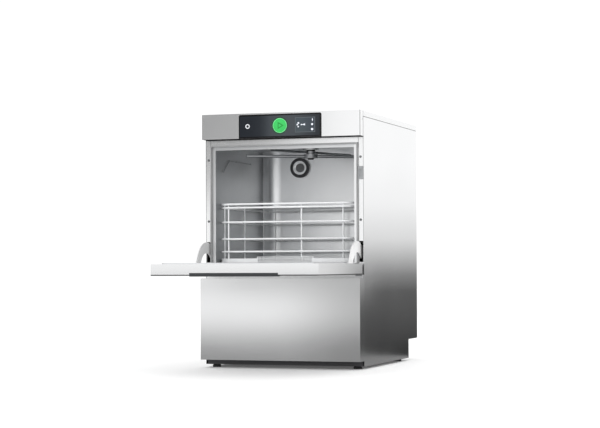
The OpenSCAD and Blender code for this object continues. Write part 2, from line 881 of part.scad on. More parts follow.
module rack_back() {
    color("white") in_cabinet() translate([0, rack_y + rack_size, 0]) mirror([0, 1, 0]) {
        rack_end();
        rack_posts(front_posts);
    }
}

module rack_sides() {
    color("white") in_cabinet() both_sides() translate([-rack_x, rack_y, 0]) {
        for (z = rack_rail_z)
            rod_y(wire_r, wire_r, rack_corner, rack_size - rack_corner, z);
        for (y = side_posts)
            rod_z(2, 2 * wire_r + 1.4, y < rack_corner ? rack_corner + 2
                  : y > rack_size - rack_corner ? rack_size - rack_corner - 2 : y,
                  rack_z, rack_rail_z[4] + 1);
    }
}

module rack_floor() {
    inset = 2 * wire_r + 3.4;
    size = rack_size - 2 * inset;
    pitch = 24;
    count = 15;
    color("white") in_cabinet() translate([0, rack_y + rack_x, rack_z]) {
        linear_extrude(4) difference() {
            round_rect(size, size, 30);
            round_rect(size - 8, size - 8, 26);
        }
        for (i = [0 : count - 1]) {
            u = (i - (count - 1) / 2) * pitch;
            translate([u - 1.2, -size / 2 + 2, 1]) cube([2.4, size - 4, 2.4]);
            translate([-size / 2 + 2, u - 1.2, 0]) cube([size - 4, 2.4, 2.4]);
        }
    }
}

module rack_skirts() {
    inner = 79;
    run = 72;
    inset = 2 * wire_r + 3.4;
    mesh_w = 2 * inner + 6;
    holes = 38;
    color("white") in_cabinet() translate([0, rack_y + rack_x, rack_z]) {
        linear_extrude(11) difference() {
            round_rect(rack_size, rack_size, rack_corner);
            round_rect(rack_size - 4, rack_size - 4, rack_corner - 2);
            square([2 * inner, rack_size + 2], center = true);
            square([rack_size + 2, rack_size - 2 * run], center = true);
        }
        for (sx = [-1, 1], sy = [-1, 1])
            translate([sx * (inner + 8) - 3, sy > 0 ? rack_x - inset : -rack_x + 2, 0])
                cube([6, inset - 2, 2]);
        translate([0, -rack_x + 3, 1.5]) rotate([90, 0, 0]) linear_extrude(1) difference() {
            translate([-mesh_w / 2, 0]) square([mesh_w, 14.5]);
            for (i = [0 : holes - 1], j = [0 : 2])
                translate([(i - holes / 2) * 4.2 + 0.6, 1.2 + 4.4 * j]) square([3, 3.2]);
        }
    }
}

base_tray();
feet();
lower_front_panel();
side_panel_left();
side_panel_right();
rear_panel();
connection_plate();
top_lid();
front_frame();
control_fascia();
control_glass();
control_board();
display_screen();
button_bezels();
start_button();
power_button();
chamber_left_wall();
chamber_right_wall();
chamber_back_wall();
chamber_ceiling();
wash_tank();
door_gasket();
rack_rails();
sensor_wire();
panel_screws();
door_catch();
hinge_brackets();
door_springs();
tank_strainer();
filter_cylinder();
overflow_pipe();
tank_heater();
upper_hub();
lower_hub();
arm_nuts();
upper_wash_arm();
upper_rinse_arm();
lower_wash_arm();
lower_rinse_arm();
wash_pump();
wash_pipes();
rinse_boiler();
rinse_pipes();
drain_pump();
dosing_pumps();
inlet_valve();
water_inlet();
drain_outlet();
cable_gland();
door_outer_panel();
door_inner_liner();
door_handle();
hinge_arm_left();
hinge_arm_right();
hinge_pins();
rack_front();
rack_back();
rack_sides();
rack_floor();
rack_skirts();
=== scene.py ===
# The looks of the undercounter glasswasher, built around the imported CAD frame.
# Metres, +Z up, front along -Y.
import math

import bmesh
import bpy
from mathutils import Matrix, Vector


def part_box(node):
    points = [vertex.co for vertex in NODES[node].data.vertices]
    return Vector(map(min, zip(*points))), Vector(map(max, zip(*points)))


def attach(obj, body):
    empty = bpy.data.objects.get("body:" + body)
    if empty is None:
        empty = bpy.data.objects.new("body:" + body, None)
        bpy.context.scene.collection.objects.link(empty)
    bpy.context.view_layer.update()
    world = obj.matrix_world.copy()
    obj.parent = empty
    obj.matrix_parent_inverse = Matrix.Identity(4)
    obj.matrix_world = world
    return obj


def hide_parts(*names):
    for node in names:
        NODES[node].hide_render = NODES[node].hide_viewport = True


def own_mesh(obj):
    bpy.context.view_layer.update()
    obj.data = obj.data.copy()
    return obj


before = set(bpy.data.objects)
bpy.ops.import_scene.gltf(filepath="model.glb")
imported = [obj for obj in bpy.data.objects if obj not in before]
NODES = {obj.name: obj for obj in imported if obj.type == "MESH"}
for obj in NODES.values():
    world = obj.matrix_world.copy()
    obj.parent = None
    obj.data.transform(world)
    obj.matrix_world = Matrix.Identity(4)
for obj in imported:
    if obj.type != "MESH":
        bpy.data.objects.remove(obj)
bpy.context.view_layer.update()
MM = 0.001
LIP_Y = -77.5 * MM  # in front of this the chamber's side sheets are the lip, in the panels' steel colour rather than the walls' painted shade
BOSS_X, BOSS_Z = -97 * MM, 574 * MM  # middle of the boss on the chamber's back wall
BOSS_RING = (20.8 * MM, 30.4 * MM)  # its rubber ring, from the inner to the outer radius
BOSS_PLUG = 13.4 * MM  # radius of its grey plug
RIM_R = 19.9 * MM  # outer radius of the start button's rim
POWER_RING_R = 6.4 * MM  # past this radius the power button's ring is dark, not white
RIMS_APART_X = -50 * MM  # the power button's ring is left of this, the start button's right
COAT_AND_SHADE_COLOUR = (0.015, 0.015, 0.016)  # the black damping coat on hidden faces, also painted shade where it darkens slots and the gap under the fascia
STEEL = (0.86, 0.865, 0.87)
WHITE = (1, 1, 1, 1)

# The studio's mirror cards: how strong, how high, and where they stand in Y
CARD_STRENGTH = 1.12
CARD_TOP = 1.05
FRONT_CARD_Y = -0.80
REAR_CARD_Y = 0.62

# Camera, from the cabinet's edges: place, heading, tilt, roll and lens
CAMERA_AT = Vector((1.54224, -4.44796, 0.2842))
HEADING = math.radians(18.9)
TILT = math.radians(1.71)
ROLL = math.radians(-0.23)
LENS = 101.2


# ---------------------------------------------------------------- node helpers

class Shade:
    """A small builder for one material's node tree."""

    def __init__(self, name):
        self.mat = bpy.data.materials.new(name)
        self.mat.use_nodes = True
        self.tree = self.mat.node_tree
        self.bsdf = self.tree.nodes["Principled BSDF"]
        self.coords = self.tree.nodes.new("ShaderNodeTexCoord").outputs["Object"]

    def put(self, socket, value):
        self.bsdf.inputs[socket].default_value = value

    def link(self, out, into):
        self.tree.links.new(out, into)

    def stretched(self, scale):
        node = self.tree.nodes.new("ShaderNodeMapping")
        node.inputs["Scale"].default_value = scale
        self.link(self.coords, node.inputs["Vector"])
        return node.outputs["Vector"]

    def noise(self, vector, scale=1.0, detail=3.0, rough=0.5):
        node = self.tree.nodes.new("ShaderNodeTexNoise")
        node.inputs["Scale"].default_value = scale
        node.inputs["Detail"].default_value = detail
        node.inputs["Roughness"].default_value = rough
        self.link(vector, node.inputs["Vector"])
        return node.outputs["Fac"]

    def spots(self, vector, scale, low, high):
        node = self.tree.nodes.new("ShaderNodeTexVoronoi")
        node.inputs["Scale"].default_value = scale
        self.link(vector, node.inputs["Vector"])
        return self.span(node.outputs["Distance"], low, high, 1.0, 0.0)

    def span(self, value, low, high, to_low, to_high):
        node = self.tree.nodes.new("ShaderNodeMapRange")
        for socket, number in zip(("From Min", "From Max", "To Min", "To Max"),
                                  (low, high, to_low, to_high)):
            node.inputs[socket].default_value = number
        self.link(value, node.inputs["Value"])
        return node.outputs["Result"]

    def spread(self, noise, to_low=0.0, to_high=1.0):
        """Spreads a noise's usual values over the wanted span."""
        return self.span(noise, 0.3, 0.7, to_low, to_high)

    def distance(self, point):
        node = self.tree.nodes.new("ShaderNodeVectorMath")
        node.operation = "DISTANCE"
        self.link(self.coords, node.inputs[0])
        node.inputs[1].default_value = point
        return node.outputs["Value"]

    def axis(self, name):
        node = self.tree.nodes.new("ShaderNodeSeparateXYZ")
        self.link(self.coords, node.inputs["Vector"])
        return node.outputs[name]

    def ramp(self, value, stops):
        """Steps a value through grey stops, each a place and a tone."""
        node = self.tree.nodes.new("ShaderNodeValToRGB")
        marks = node.color_ramp.elements
        while len(marks) < len(stops):
            marks.new(0.5)
        for mark, (place, level) in zip(marks, stops):
            mark.position = place
            mark.color = (level, level, level, 1)
        self.link(value, node.inputs["Fac"])
        return node.outputs["Color"]

    def math(self, kind, a, b):
        node = self.tree.nodes.new("ShaderNodeMath")
        node.operation = kind
        for socket, value in zip(node.inputs, (a, b)):
            if isinstance(value, (int, float)):
                socket.default_value = value
            else:
                self.link(value, socket)
        return node.outputs["Value"]

    def blend(self, factor, a, b):
        node = self.tree.nodes.new("ShaderNodeMix")
        node.data_type = "RGBA"
        self.link(factor, node.inputs["Factor"])
        for socket, value in zip(("A", "B"), (a, b)):
            if isinstance(value, tuple):
                node.inputs[socket].default_value = (*value, 1)
            else:
                self.link(value, node.inputs[socket])
        return node.outputs["Result"]

    def bump(self, height, strength, distance):
        node = self.tree.nodes.new("ShaderNodeBump")
        node.inputs["Strength"].default_value = strength
        node.inputs["Distance"].default_value = distance
        self.link(height, node.inputs["Height"])
        self.link(node.outputs["Normal"], self.bsdf.inputs["Normal"])


def tone(colour, factor):
    return tuple(min(1.0, c * factor) for c in colour)


def where(s, limits):
    """One where all the limits hold, each an axis, a comparison and a number; X is |X|."""
    found = 1.0
    for axis, kind, limit in limits:
        place = s.axis(axis)
        if axis == "X":
            place = s.math("ABSOLUTE", place, 0.0)
        found = s.math("MULTIPLY", found, s.math(kind, place, limit))
    return found


def brushed(name, colour, rough, grain, coat_and_shade=(), dark_edge_band=(), edge_shade=0.4, depth=0.05):
    """Brushed stainless steel: fine lines along the axis with the low grain scale.

    Where the coat limits hold it's the sheet's hidden face, which carries a black damping
    coat, as the panels of such machines do; where they take in a visible face, the black is
    painted shadow. Where the edge-band limits hold, a band is darkened as painted shade along a
    seam or edge.
    """
    s = Shade(name)
    lines = s.noise(s.stretched(grain), detail=4.0, rough=0.65)
    cloud = s.noise(s.coords, scale=5.0, detail=4.0)
    mix = s.math("ADD", s.math("MULTIPLY", lines, 0.6), s.math("MULTIPLY", cloud, 0.4))
    steel = s.blend(s.spread(mix), tone(colour, 0.975), tone(colour, 1.025))
    marks = s.math("ADD", s.spread(lines, -0.02, 0.02),
                   s.span(cloud, 0.35, 0.7, rough - 0.015, rough + 0.025))
    # Painted shade: a band along a seam or bent edge is darkened to a fraction of the steel colour.
    if dark_edge_band:
        steel = s.blend(where(s, dark_edge_band), steel, tone(colour, edge_shade))
    # The black damping coat on hidden faces; where the mask takes in visible faces, as on the frame
    # under the fascia, the black is painted shadow.
    if coat_and_shade:
        coat = where(s, coat_and_shade)
        steel = s.blend(coat, steel, COAT_AND_SHADE_COLOUR)
        marks = s.math("ADD", marks, s.math("MULTIPLY", coat, 0.6))
        s.link(s.math("SUBTRACT", 1.0, coat), s.bsdf.inputs["Metallic"])
    else:
        s.put("Metallic", 1.0)
    s.link(steel, s.bsdf.inputs["Base Color"])
    s.link(marks, s.bsdf.inputs["Roughness"])
    s.bump(lines, depth, 0.00005)
    return s.mat


def wash_steel(name, colour, rough, outside=None, boss=None):
    """Dull chamber sheet: fine grain, soft clouds and dried water marks.

    Past the outside limit in X its hidden face carries a black damping coat, which also serves as
    painted shade in the slot beside the chamber, and the lip in front takes the panels' steel
    colour.
    Round the boss's place its outer ring is black rubber, and the plug in its middle is grey.
    """
    s = Shade(name)
    lines = s.noise(s.stretched((40, 40, 900)), detail=3.0)
    cloud = s.noise(s.coords, scale=7.0, detail=5.0, rough=0.6)
    drops = s.spots(s.coords, 55.0, 0.05, 0.28)
    dirt = s.math("ADD", s.math("MULTIPLY", cloud, 0.8), s.math("MULTIPLY", drops, 0.05))
    steel = s.blend(s.span(dirt, 0.3, 0.75, 0.0, 1.0), tone(colour, 1.03), tone(colour, 0.95))
    if outside:
        # The black coat on the wall's hidden outer face, which also darkens the slot beside the
        # chamber as painted shade.
        coat = where(s, [("X", "GREATER_THAN", outside), ("Y", "GREATER_THAN", LIP_Y)])
        steel = s.blend(coat, steel, COAT_AND_SHADE_COLOUR)
        # In front of the lip's limit the sheet takes the panels' steel colour; the darker wall
        # colour behind it is painted shade.
        steel = s.blend(s.math("LESS_THAN", s.axis("Y"), LIP_Y), steel, STEEL)
        s.link(s.math("SUBTRACT", 1.0, coat), s.bsdf.inputs["Metallic"])
    elif boss:
        across = s.math("SUBTRACT", s.axis("X"), boss[0])
        up = s.math("SUBTRACT", s.axis("Z"), boss[2])
        away = s.math("SQRT", s.math("ADD", s.math("MULTIPLY", across, across),
                                     s.math("MULTIPLY", up, up)), 0.0)
        near = s.math("LESS_THAN", s.axis("Y"), boss[1])
        ring = s.math("MULTIPLY", s.math("GREATER_THAN", away, BOSS_RING[0]),
                      s.math("LESS_THAN", away, BOSS_RING[1]))
        ring = s.math("MULTIPLY", near, ring)
        plug = s.math("MULTIPLY", near, s.math("LESS_THAN", away, BOSS_PLUG))
        steel = s.blend(ring, steel, (0.045, 0.047, 0.05))
        steel = s.blend(plug, steel, (0.22, 0.225, 0.23))
        s.link(s.math("SUBTRACT", 1.0, s.math("MAXIMUM", ring, plug)), s.bsdf.inputs["Metallic"])
    else:
        s.put("Metallic", 1.0)
    s.link(steel, s.bsdf.inputs["Base Color"])
    s.link(s.math("ADD", s.span(dirt, 0.3, 0.75, rough - 0.02, rough + 0.04),
                  s.spread(lines, -0.03, 0.03)), s.bsdf.inputs["Roughness"])
    s.bump(s.math("ADD", lines, s.math("MULTIPLY", drops, 0.15)), 0.10, 0.0001)
    return s.mat


def tube_steel(name, colour, rough):
    """Smooth drawn tube and small steel parts: faint swirls and duller patches."""
    s = Shade(name)
    s.put("Metallic", 1.0)
    swirl = s.noise(s.coords, scale=60.0, detail=4.0)
    cloud = s.noise(s.coords, scale=9.0, detail=3.0)
    s.link(s.blend(s.spread(cloud), tone(colour, 0.9), tone(colour, 1.05)),
           s.bsdf.inputs["Base Color"])
    s.link(s.math("ADD", s.spread(swirl, -0.05, 0.05),
                  s.spread(cloud, rough - 0.04, rough + 0.06)),
           s.bsdf.inputs["Roughness"])
    s.bump(swirl, 0.08, 0.0001)
    return s.mat


def perforated(name, colour, rough, pitch, wrap=None):
    """Punched sheet: staggered round holes that show dark. With a wrap, a centre in X and Y
    and a radius, the holes run round an upright cylinder."""
    s = Shade(name)
    x, y, z = s.axis("X"), s.axis("Y"), s.axis("Z")
    if wrap:
        across = s.math("ARCTAN2", s.math("SUBTRACT", y, wrap[1]), s.math("SUBTRACT", x, wrap[0]))
        across, along = s.math("MULTIPLY", across, wrap[2]), z
    else:
        across, along = x, y
    per_hole = math.pi / pitch
    hit = s.math("MULTIPLY", s.math("SINE", s.math("MULTIPLY", across, per_hole), 0.0),
                 s.math("SINE", s.math("MULTIPLY", along, per_hole), 0.0))
    hole = s.span(hit, 0.45, 0.6, 0.0, 1.0)
    cloud = s.noise(s.coords, scale=9.0, detail=3.0)
    steel = s.blend(s.spread(cloud), tone(colour, 0.93), tone(colour, 1.04))
    s.link(s.blend(hole, steel, (0.02, 0.02, 0.021)), s.bsdf.inputs["Base Color"])
    s.link(s.math("SUBTRACT", 1.0, hole), s.bsdf.inputs["Metallic"])
    s.link(s.spread(cloud, rough - 0.03, rough + 0.05), s.bsdf.inputs["Roughness"])
    s.bump(hole, 0.3, -0.0004)
    return s.mat


def moulded(name, colour, rough, grain=900.0, depth=0.15, coat=0.0):
    """Moulded plastic, rubber or coating: fine erosion grain and soft shade changes."""
    s = Shade(name)
    fine = s.noise(s.coords, scale=grain, detail=2.0)
    cloud = s.noise(s.coords, scale=11.0, detail=4.0)
    s.link(s.blend(s.spread(cloud), tone(colour, 0.9), tone(colour, 1.1)),
           s.bsdf.inputs["Base Color"])
    s.link(s.math("ADD", s.spread(fine, -0.04, 0.04),
                  s.spread(cloud, rough - 0.05, rough + 0.06)),
           s.bsdf.inputs["Roughness"])
    s.put("Coat Weight", coat)
    s.bump(fine, depth, 0.0001)
    return s.mat


def glass_front(name, box, glow_at, glow_r):
    """The dark glass: a black printed border, a field paler in the middle than at its left and
    right ends, with faint smears, and the start button's green light spilling round its rim."""
    s = Shade(name)
    low, high = box
    cloud = s.noise(s.coords, scale=14.0, detail=5.0)
    x, z = s.axis("X"), s.axis("Z")
    # The field's tone across X follows the given stops: paler in the middle, darker towards both
    # ends.
    paler_middle = s.ramp(s.span(x, low[0], high[0], 0.0, 1.0),
                  ((0.16, 0.0), (0.25, 0.08), (0.31, 0.35), (0.38, 0.8), (0.5, 1.0),
                   (0.66, 1.0), (0.80, 0.6), (0.97, 0.05)))
    field = s.blend(paler_middle, (0.011, 0.014, 0.019), (0.056, 0.064, 0.072))
    field = s.blend(s.spread(cloud, 0.0, 0.12), field, (0.035, 0.042, 0.055))
    edge = s.math("MULTIPLY", s.span(x, high[0] - 6.2 * MM, high[0] - 4.8 * MM, 1.0, 0.0),
                  s.math("MULTIPLY", s.span(x, low[0] + 2 * MM, low[0] + 3.5 * MM, 0.0, 1.0),
                         s.math("MULTIPLY", s.span(z, low[2] + 3 * MM, low[2] + 4.5 * MM, 0.0, 1.0),
                                s.span(z, high[2] - 5 * MM, high[2] - 3.5 * MM, 1.0, 0.0))))
    spill = s.math("POWER", s.span(s.distance(glow_at), glow_r, glow_r * 1.35, 1.0, 0.0), 1.5)
    dark = s.math("MULTIPLY", edge, s.span(spill, 0.0, 1.0, 1.0, 0.1))
    s.link(s.blend(dark, (0.003, 0.003, 0.004), field), s.bsdf.inputs["Base Color"])
    s.link(s.span(cloud, 0.35, 0.7, 0.10, 0.17), s.bsdf.inputs["Roughness"])
    s.put("Specular IOR Level", 0.3)
    s.put("Emission Color", (0.02, 0.75, 0.18, 1))
    s.link(s.math("MULTIPLY", spill, 0.09), s.bsdf.inputs["Emission Strength"])
    return s.mat


def lit(name, colour, strength, rough=0.25, ripple=0.08):
    """A lit printed surface, with a faint unevenness in its light."""
    s = Shade(name)
    cloud = s.noise(s.coords, scale=45.0, detail=2.0)
    mix = s.spread(cloud)
    for socket in ("Base Color", "Emission Color"):
        s.link(s.blend(mix, tone(colour, 1 - ripple), tone(colour, 1 + ripple)),
               s.bsdf.inputs[socket])
    s.put("Emission Strength", strength)
    s.put("Specular IOR Level", 0.3)
    s.put("Roughness", rough)
    return s.mat


def ring_light(name, limit, middle, reach):
    """The button rims: left of the limit white, right of it pale green, both lit. Past
    its reach from the middle the white one is dark."""
    s = Shade(name)
    cloud = s.noise(s.coords, scale=60.0, detail=2.0)
    white = s.blend(s.spread(cloud), (0.58, 0.60, 0.63), (0.66, 0.68, 0.71))
    green_rim = s.blend(s.spread(cloud), (0.24, 0.82, 0.36), (0.30, 0.90, 0.42))
    white = s.blend(s.math("GREATER_THAN", s.distance(middle), reach), white,
                    (0.02, 0.022, 0.03))
    side = s.math("GREATER_THAN", s.axis("X"), limit)
    for socket in ("Base Color", "Emission Color"):
        s.link(s.blend(side, white, green_rim), s.bsdf.inputs[socket])
    s.put("Emission Strength", 0.3)
    s.put("Roughness", 0.3)
    return s.mat


def screen_front(name, box):
    """The display: a slate field with a paler frame line and a soft sheen of light."""
    s = Shade(name)
    low, high = box
    x, z = s.axis("X"), s.axis("Z")
    cloud = s.noise(s.coords, scale=30.0, detail=3.0)
    field = s.blend(s.span(z, low[2], high[2], 0.0, 1.0), (0.052, 0.066, 0.074),
                    (0.048, 0.063, 0.076))
    field = s.blend(s.span(x, low[0] + 20 * MM, high[0], 0.0, 0.8), field, (0.028, 0.034, 0.048))
    line = s.math("MINIMUM", s.math("SUBTRACT", x, low[0]), s.math("SUBTRACT", high[0], x))
    line = s.math("MINIMUM", line, s.math("MINIMUM", s.math("SUBTRACT", z, low[2]),
                                          s.math("SUBTRACT", high[2], z)))
    frame_line = s.span(line, 1.2 * MM, 2.2 * MM, 1.0, 0.0)
    paint = s.blend(frame_line, field, (0.092, 0.105, 0.115))
    s.link(paint, s.bsdf.inputs["Base Color"])
    s.link(paint, s.bsdf.inputs["Emission Color"])
    s.put("Emission Strength", 0.12)
    s.put("Specular IOR Level", 0.3)
    s.link(s.spread(cloud, 0.12, 0.2), s.bsdf.inputs["Roughness"])
    return s.mat


# ---------------------------------------------------------------- mesh helpers

def new_piece(name, bm, body, mat, smooth=True):
    """Makes an object of a bmesh, gives it a material and lets it ride on a body."""
    bmesh.ops.recalc_face_normals(bm, faces=bm.faces)
    mesh = bpy.data.meshes.new(name)
    bm.to_mesh(mesh)
    bm.free()
    for face in mesh.polygons:
        face.use_smooth = smooth
    obj = bpy.data.objects.new(name, mesh)
    bpy.context.collection.objects.link(obj)
    mesh.materials.append(mat)
    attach(obj, body)
    return obj


def tube(bm, points, radius, sides):
    """Adds a round wire along the points, with closed ends."""
    rings = []
    count = len(points)
    side = None
    for i, p in enumerate(points):
        before = points[max(i - 1, 0)]
        after = points[min(i + 1, count - 1)]
        way = (after - before).normalized()
        if side is None:
            side = way.orthogonal().normalized()
        side = (side - way * side.dot(way)).normalized()
        other = way.cross(side)
        ring = []
        for k in range(sides):
            a = 2 * math.pi * k / sides
            ring.append(bm.verts.new(p + radius * (math.cos(a) * side + math.sin(a) * other)))
        rings.append(ring)
    for a, b in zip(rings, rings[1:]):
        for k in range(sides):
            bm.faces.new((a[k], a[(k + 1) % sides], b[(k + 1) % sides], b[k]))
    bm.faces.new(rings[0])
    bm.faces.new(rings[-1])


def plate(bm, outline, back, thick):
    """Adds a flat piece drawn in X and Z that faces -Y."""
    rear = [bm.verts.new((x, back, z)) for x, z in outline]
    front = [bm.verts.new((x, back - thick, z)) for x, z in outline]
    bm.faces.new(front)
    bm.faces.new(rear)
    for i in range(len(outline)):
        n = (i + 1) % len(outline)
        bm.faces.new((rear[i], rear[n], front[n], front[i]))


def soften(node, width):
    """Rounds a CAD node's sharp edges without moving it."""
    mod = NODES[node].modifiers.new("edge", "BEVEL")
    mod.width = width
    mod.segments = 2
    mod.limit_method = "ANGLE"
    mod.angle_limit = math.radians(40)
    mod.use_clamp_overlap = True


def dress(nodes, mat):
    """Gives CAD nodes a material."""
    for name in nodes:
        obj = NODES[name]
        obj.data.materials.clear()
        obj.data.materials.append(mat)


# ---------------------------------------------------------------- camera, lights

def make_camera():
    ahead = Vector((-math.sin(HEADING) * math.cos(TILT), math.cos(HEADING) * math.cos(TILT),
                    math.sin(TILT)))
    right = Vector((math.cos(HEADING), math.sin(HEADING), 0))
    up = right.cross(ahead)
    rolled_right = right * math.cos(ROLL) + up * math.sin(ROLL)
    rolled_up = up * math.cos(ROLL) - right * math.sin(ROLL)
    turn = Matrix((rolled_right, rolled_up, -ahead)).transposed()
    data = bpy.data.cameras.new("camera")
    data.lens = LENS
    data.sensor_width = 36
    data.clip_end = 200
    camera = bpy.data.objects.new("camera", data)
    camera.matrix_world = Matrix.Translation(CAMERA_AT) @ turn.to_4x4()
    bpy.context.collection.objects.link(camera)
    bpy.context.scene.camera = camera


def area_light(name, at, aim, size, power):
    data = bpy.data.lights.new(name, "AREA")
    data.shape = "RECTANGLE"
    data.size, data.size_y = size
    data.energy = power
    light = bpy.data.objects.new(name, data)
    light.location = at
    light.rotation_euler = (Vector(aim) - Vector(at)).to_track_quat("-Z", "Y").to_euler()
    light.visible_camera = False
    bpy.context.collection.objects.link(light)


def plane(name, corners, mat):
    mesh = bpy.data.meshes.new(name)
    mesh.from_pydata(corners, [], [(0, 1, 2, 3)])
    obj = bpy.data.objects.new(name, mesh)
    bpy.context.collection.objects.link(obj)
    mesh.materials.append(mat)
    return obj


def mirror_only(obj):
    """A card that only reflections see, as a studio's cards do."""
    obj.visible_camera = False
    obj.visible_diffuse = False
    obj.visible_shadow = False
    obj.visible_transmission = False


def card(name, corners, s, strength):
    """A self-lit card that only reflections see; the strength is a socket of its shade."""
    s.put("Base Color", (0, 0, 0, 1))
    s.put("Specular IOR Level", 0.0)
    s.put("Roughness", 1.0)
    s.put("Emission Color", WHITE)
    s.link(strength, s.bsdf.inputs["Emission Strength"])
    mirror_only(plane(name, corners, s.mat))


def upright(left, right, y):
    """Corners of a card that stands across Y, from just under the floor."""
    return [(left, y, -0.001), (right, y, -0.001), (right, y, CARD_TOP), (left, y, CARD_TOP)]


def level(half, z):
    """Corners of a level square about the middle, which faces up."""
    return [(-half, -half, z), (half, -half, z), (half, half, z), (-half, half, z)]


def front_card():
    """Bright card before the machine, darker low down and at the upper left."""
    s = Shade("front_card")
    x, z = s.axis("X"), s.axis("Z")
    base = s.ramp(z, ((0.0, 0.15), (0.05, 0.47), (0.11, 0.93), (0.17, 0.95), (0.205, 0.76),
                      (0.232, 0.42), (0.254, 0.84), (0.32, 0.95)))
    low_right = s.math("MULTIPLY", s.span(x, -0.22, 0.0, 0.0, 0.46), s.span(z, 0.2, 0.25, 1, 0))
    top_mid = s.math("MULTIPLY", s.span(x, -0.46, -0.32, 0.0, 0.16),
                     s.math("MULTIPLY", s.span(z, 0.16, 0.215, 0, 1), s.span(z, 0.238, 0.25, 1, 0)))
    high_left = s.math("MULTIPLY", s.span(x, -0.06, -0.36, 0.0, 0.68), s.span(z, 0.44, 0.62, 0, 1))
    corner = s.math("MULTIPLY", s.span(x, -0.22, 0.0, 0.0, 0.4), s.span(z, 0.03, 0.1, 1, 0))
    shade = s.math("MULTIPLY", s.math("SUBTRACT", 1.0, low_right),
                   s.math("SUBTRACT", 1.0, high_left))
    for part in (top_mid, corner):
        shade = s.math("MULTIPLY", shade, s.math("SUBTRACT", 1.0, part))
    left, right = -2.2, 1.0
    card("front_card", upright(left, right, FRONT_CARD_Y), s,
         s.math("MULTIPLY", s.math("MULTIPLY", base, shade), CARD_STRENGTH))


def rear_card():
    """Card behind the right side: dark to knee height, then bright."""
    s = Shade("rear_card")
    x, z = s.axis("X"), s.axis("Z")
    base = s.ramp(z, ((0.0, 0.025), (0.14, 0.075), (0.20, 0.09), (0.25, 0.21), (0.30, 0.43),
                      (0.36, 0.69), (0.47, 0.88), (0.60, 0.94)))
    near = s.math("MULTIPLY", s.span(x, 0.44, 0.54, 0.0, 0.78), s.span(z, 0.14, 0.22, 0.0, 1.0))
    left, right = 0.235, 2.8
    card("rear_card", upright(left, right, REAR_CARD_Y), s,
         s.math("MULTIPLY", s.math("MAXIMUM", base, near), CARD_STRENGTH))


def make_studio():
    world = bpy.data.worlds.new("studio")
    world.use_nodes = True
    world.node_tree.nodes["Background"].inputs["Color"].default_value = WHITE
    world.node_tree.nodes["Background"].inputs["Strength"].default_value = 1.06
    bpy.context.scene.world = world
    pale = Shade("floor_pale")
    grain = pale.noise(pale.coords, scale=30.0)
    pale.link(pale.blend(grain, (0.94, 0.94, 0.94), (0.96, 0.96, 0.96)),
              pale.bsdf.inputs["Base Color"])
    pale.put("Roughness", 0.8)
    pale.put("Emission Color", WHITE)
    pale.put("Emission Strength", 0.08)
    floor = plane("floor", level(14, 0), pale.mat)
    floor.visible_glossy = False
    tones = Shade("floor_mirror")
    card("floor_mirror", level(14, -0.002), tones,
         tones.span(tones.distance((0, 0, 0)), 0.5, 5.0, 0.24, 0.85))
    far = 9.0
    for i, (a, b) in enumerate((((-far, far), (-far, -far)), ((-far, far), (far, far)),
                                ((far, far), (far, -far)), ((-far, -far), (far, -far)))):
        tones = Shade("wall_tone_%d" % i)
        card("wall_%d" % i, [(*a, -0.01), (*b, -0.01), (*b, 4.0), (*a, 4.0)], tones,
             tones.span(tones.axis("Z"), 0.0, 4.0, 0.42, 1.05))
    high = 4.2
    tones = Shade("ceiling")
    card("ceiling", level(far, high)[::-1], tones,
         tones.span(tones.axis("Y"), -3.0, 6.0, 0.80, 0.42))
    front_card()
    rear_card()
    area_light("key", (-2.6, -3.2, 2.8), (0, 0, 0.4), (2.4, 2.4), 24)
    area_light("fill", (3.2, -2.0, 2.2), (0, 0, 0.4), (2.0, 2.0), 20)
    area_light("back", (0.5, 3.4, 2.6), (0, 0, 0.3), (2.5, 1.6), 18)


make_camera()
make_studio()
bpy.context.scene.view_settings.view_transform = "Standard"


# ---------------------------------------------------------------- materials

glass_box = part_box("control_glass")
start_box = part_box("start_button")
screen_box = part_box("display_screen")
side_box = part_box("side_panel_right")
wall_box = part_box("chamber_right_wall")
fascia_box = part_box("control_fascia")
door_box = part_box("door_outer_panel")
start_mid = (Vector(start_box[0]) + Vector(start_box[1])) / 2
power_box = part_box("power_button")
power_at = (Vector(power_box[0]) + Vector(power_box[1])) / 2
power_at.y = glass_box[0][1]
button_at = Vector((start_mid.x, glass_box[0][1], start_mid.z))

flat_grain = (8, 8, 2600)
panel = brushed("brushed_panel", STEEL, 0.20, flat_grain)
# Side panels: the hidden inner face carries the black coat, which also darkens the slot beside the
# frame as painted shade; the top 1.4 mm is painted shadow at the seam under the lid.
side = brushed("brushed_side", STEEL, 0.18, flat_grain,
               [("X", "LESS_THAN", side_box[0][0] + 0.8 * MM)],
               [("Z", "GREATER_THAN", side_box[1][2] - 1.4 * MM)])
# The front frame's strip from 2 mm under the control fascia upwards is painted black through the
# coat mask: painted shadow of the gap under the fascia.
frame_sheet = brushed("brushed_frame", STEEL, 0.24, flat_grain,
                      [("Z", "GREATER_THAN", fascia_box[0][2] - 2 * MM)])
# Control fascia: its hidden faces carry the black coat, which also darkens the view up under it as
# painted shade; a band on the right front edge is darkened as a painted reflection of dark
# surroundings.
fascia = brushed("brushed_fascia", STEEL, 0.22, flat_grain,
                 [("Y", "GREATER_THAN", fascia_box[0][1] + 1 * MM),
                  ("X", "LESS_THAN", fascia_box[1][0] - 0.8 * MM),
                  ("Z", "LESS_THAN", fascia_box[1][2] - 0.8 * MM)],
                 [("X", "GREATER_THAN", fascia_box[1][0] - 1.1 * MM),
                  ("Y", "LESS_THAN", fascia_box[0][1] + 3 * MM)])
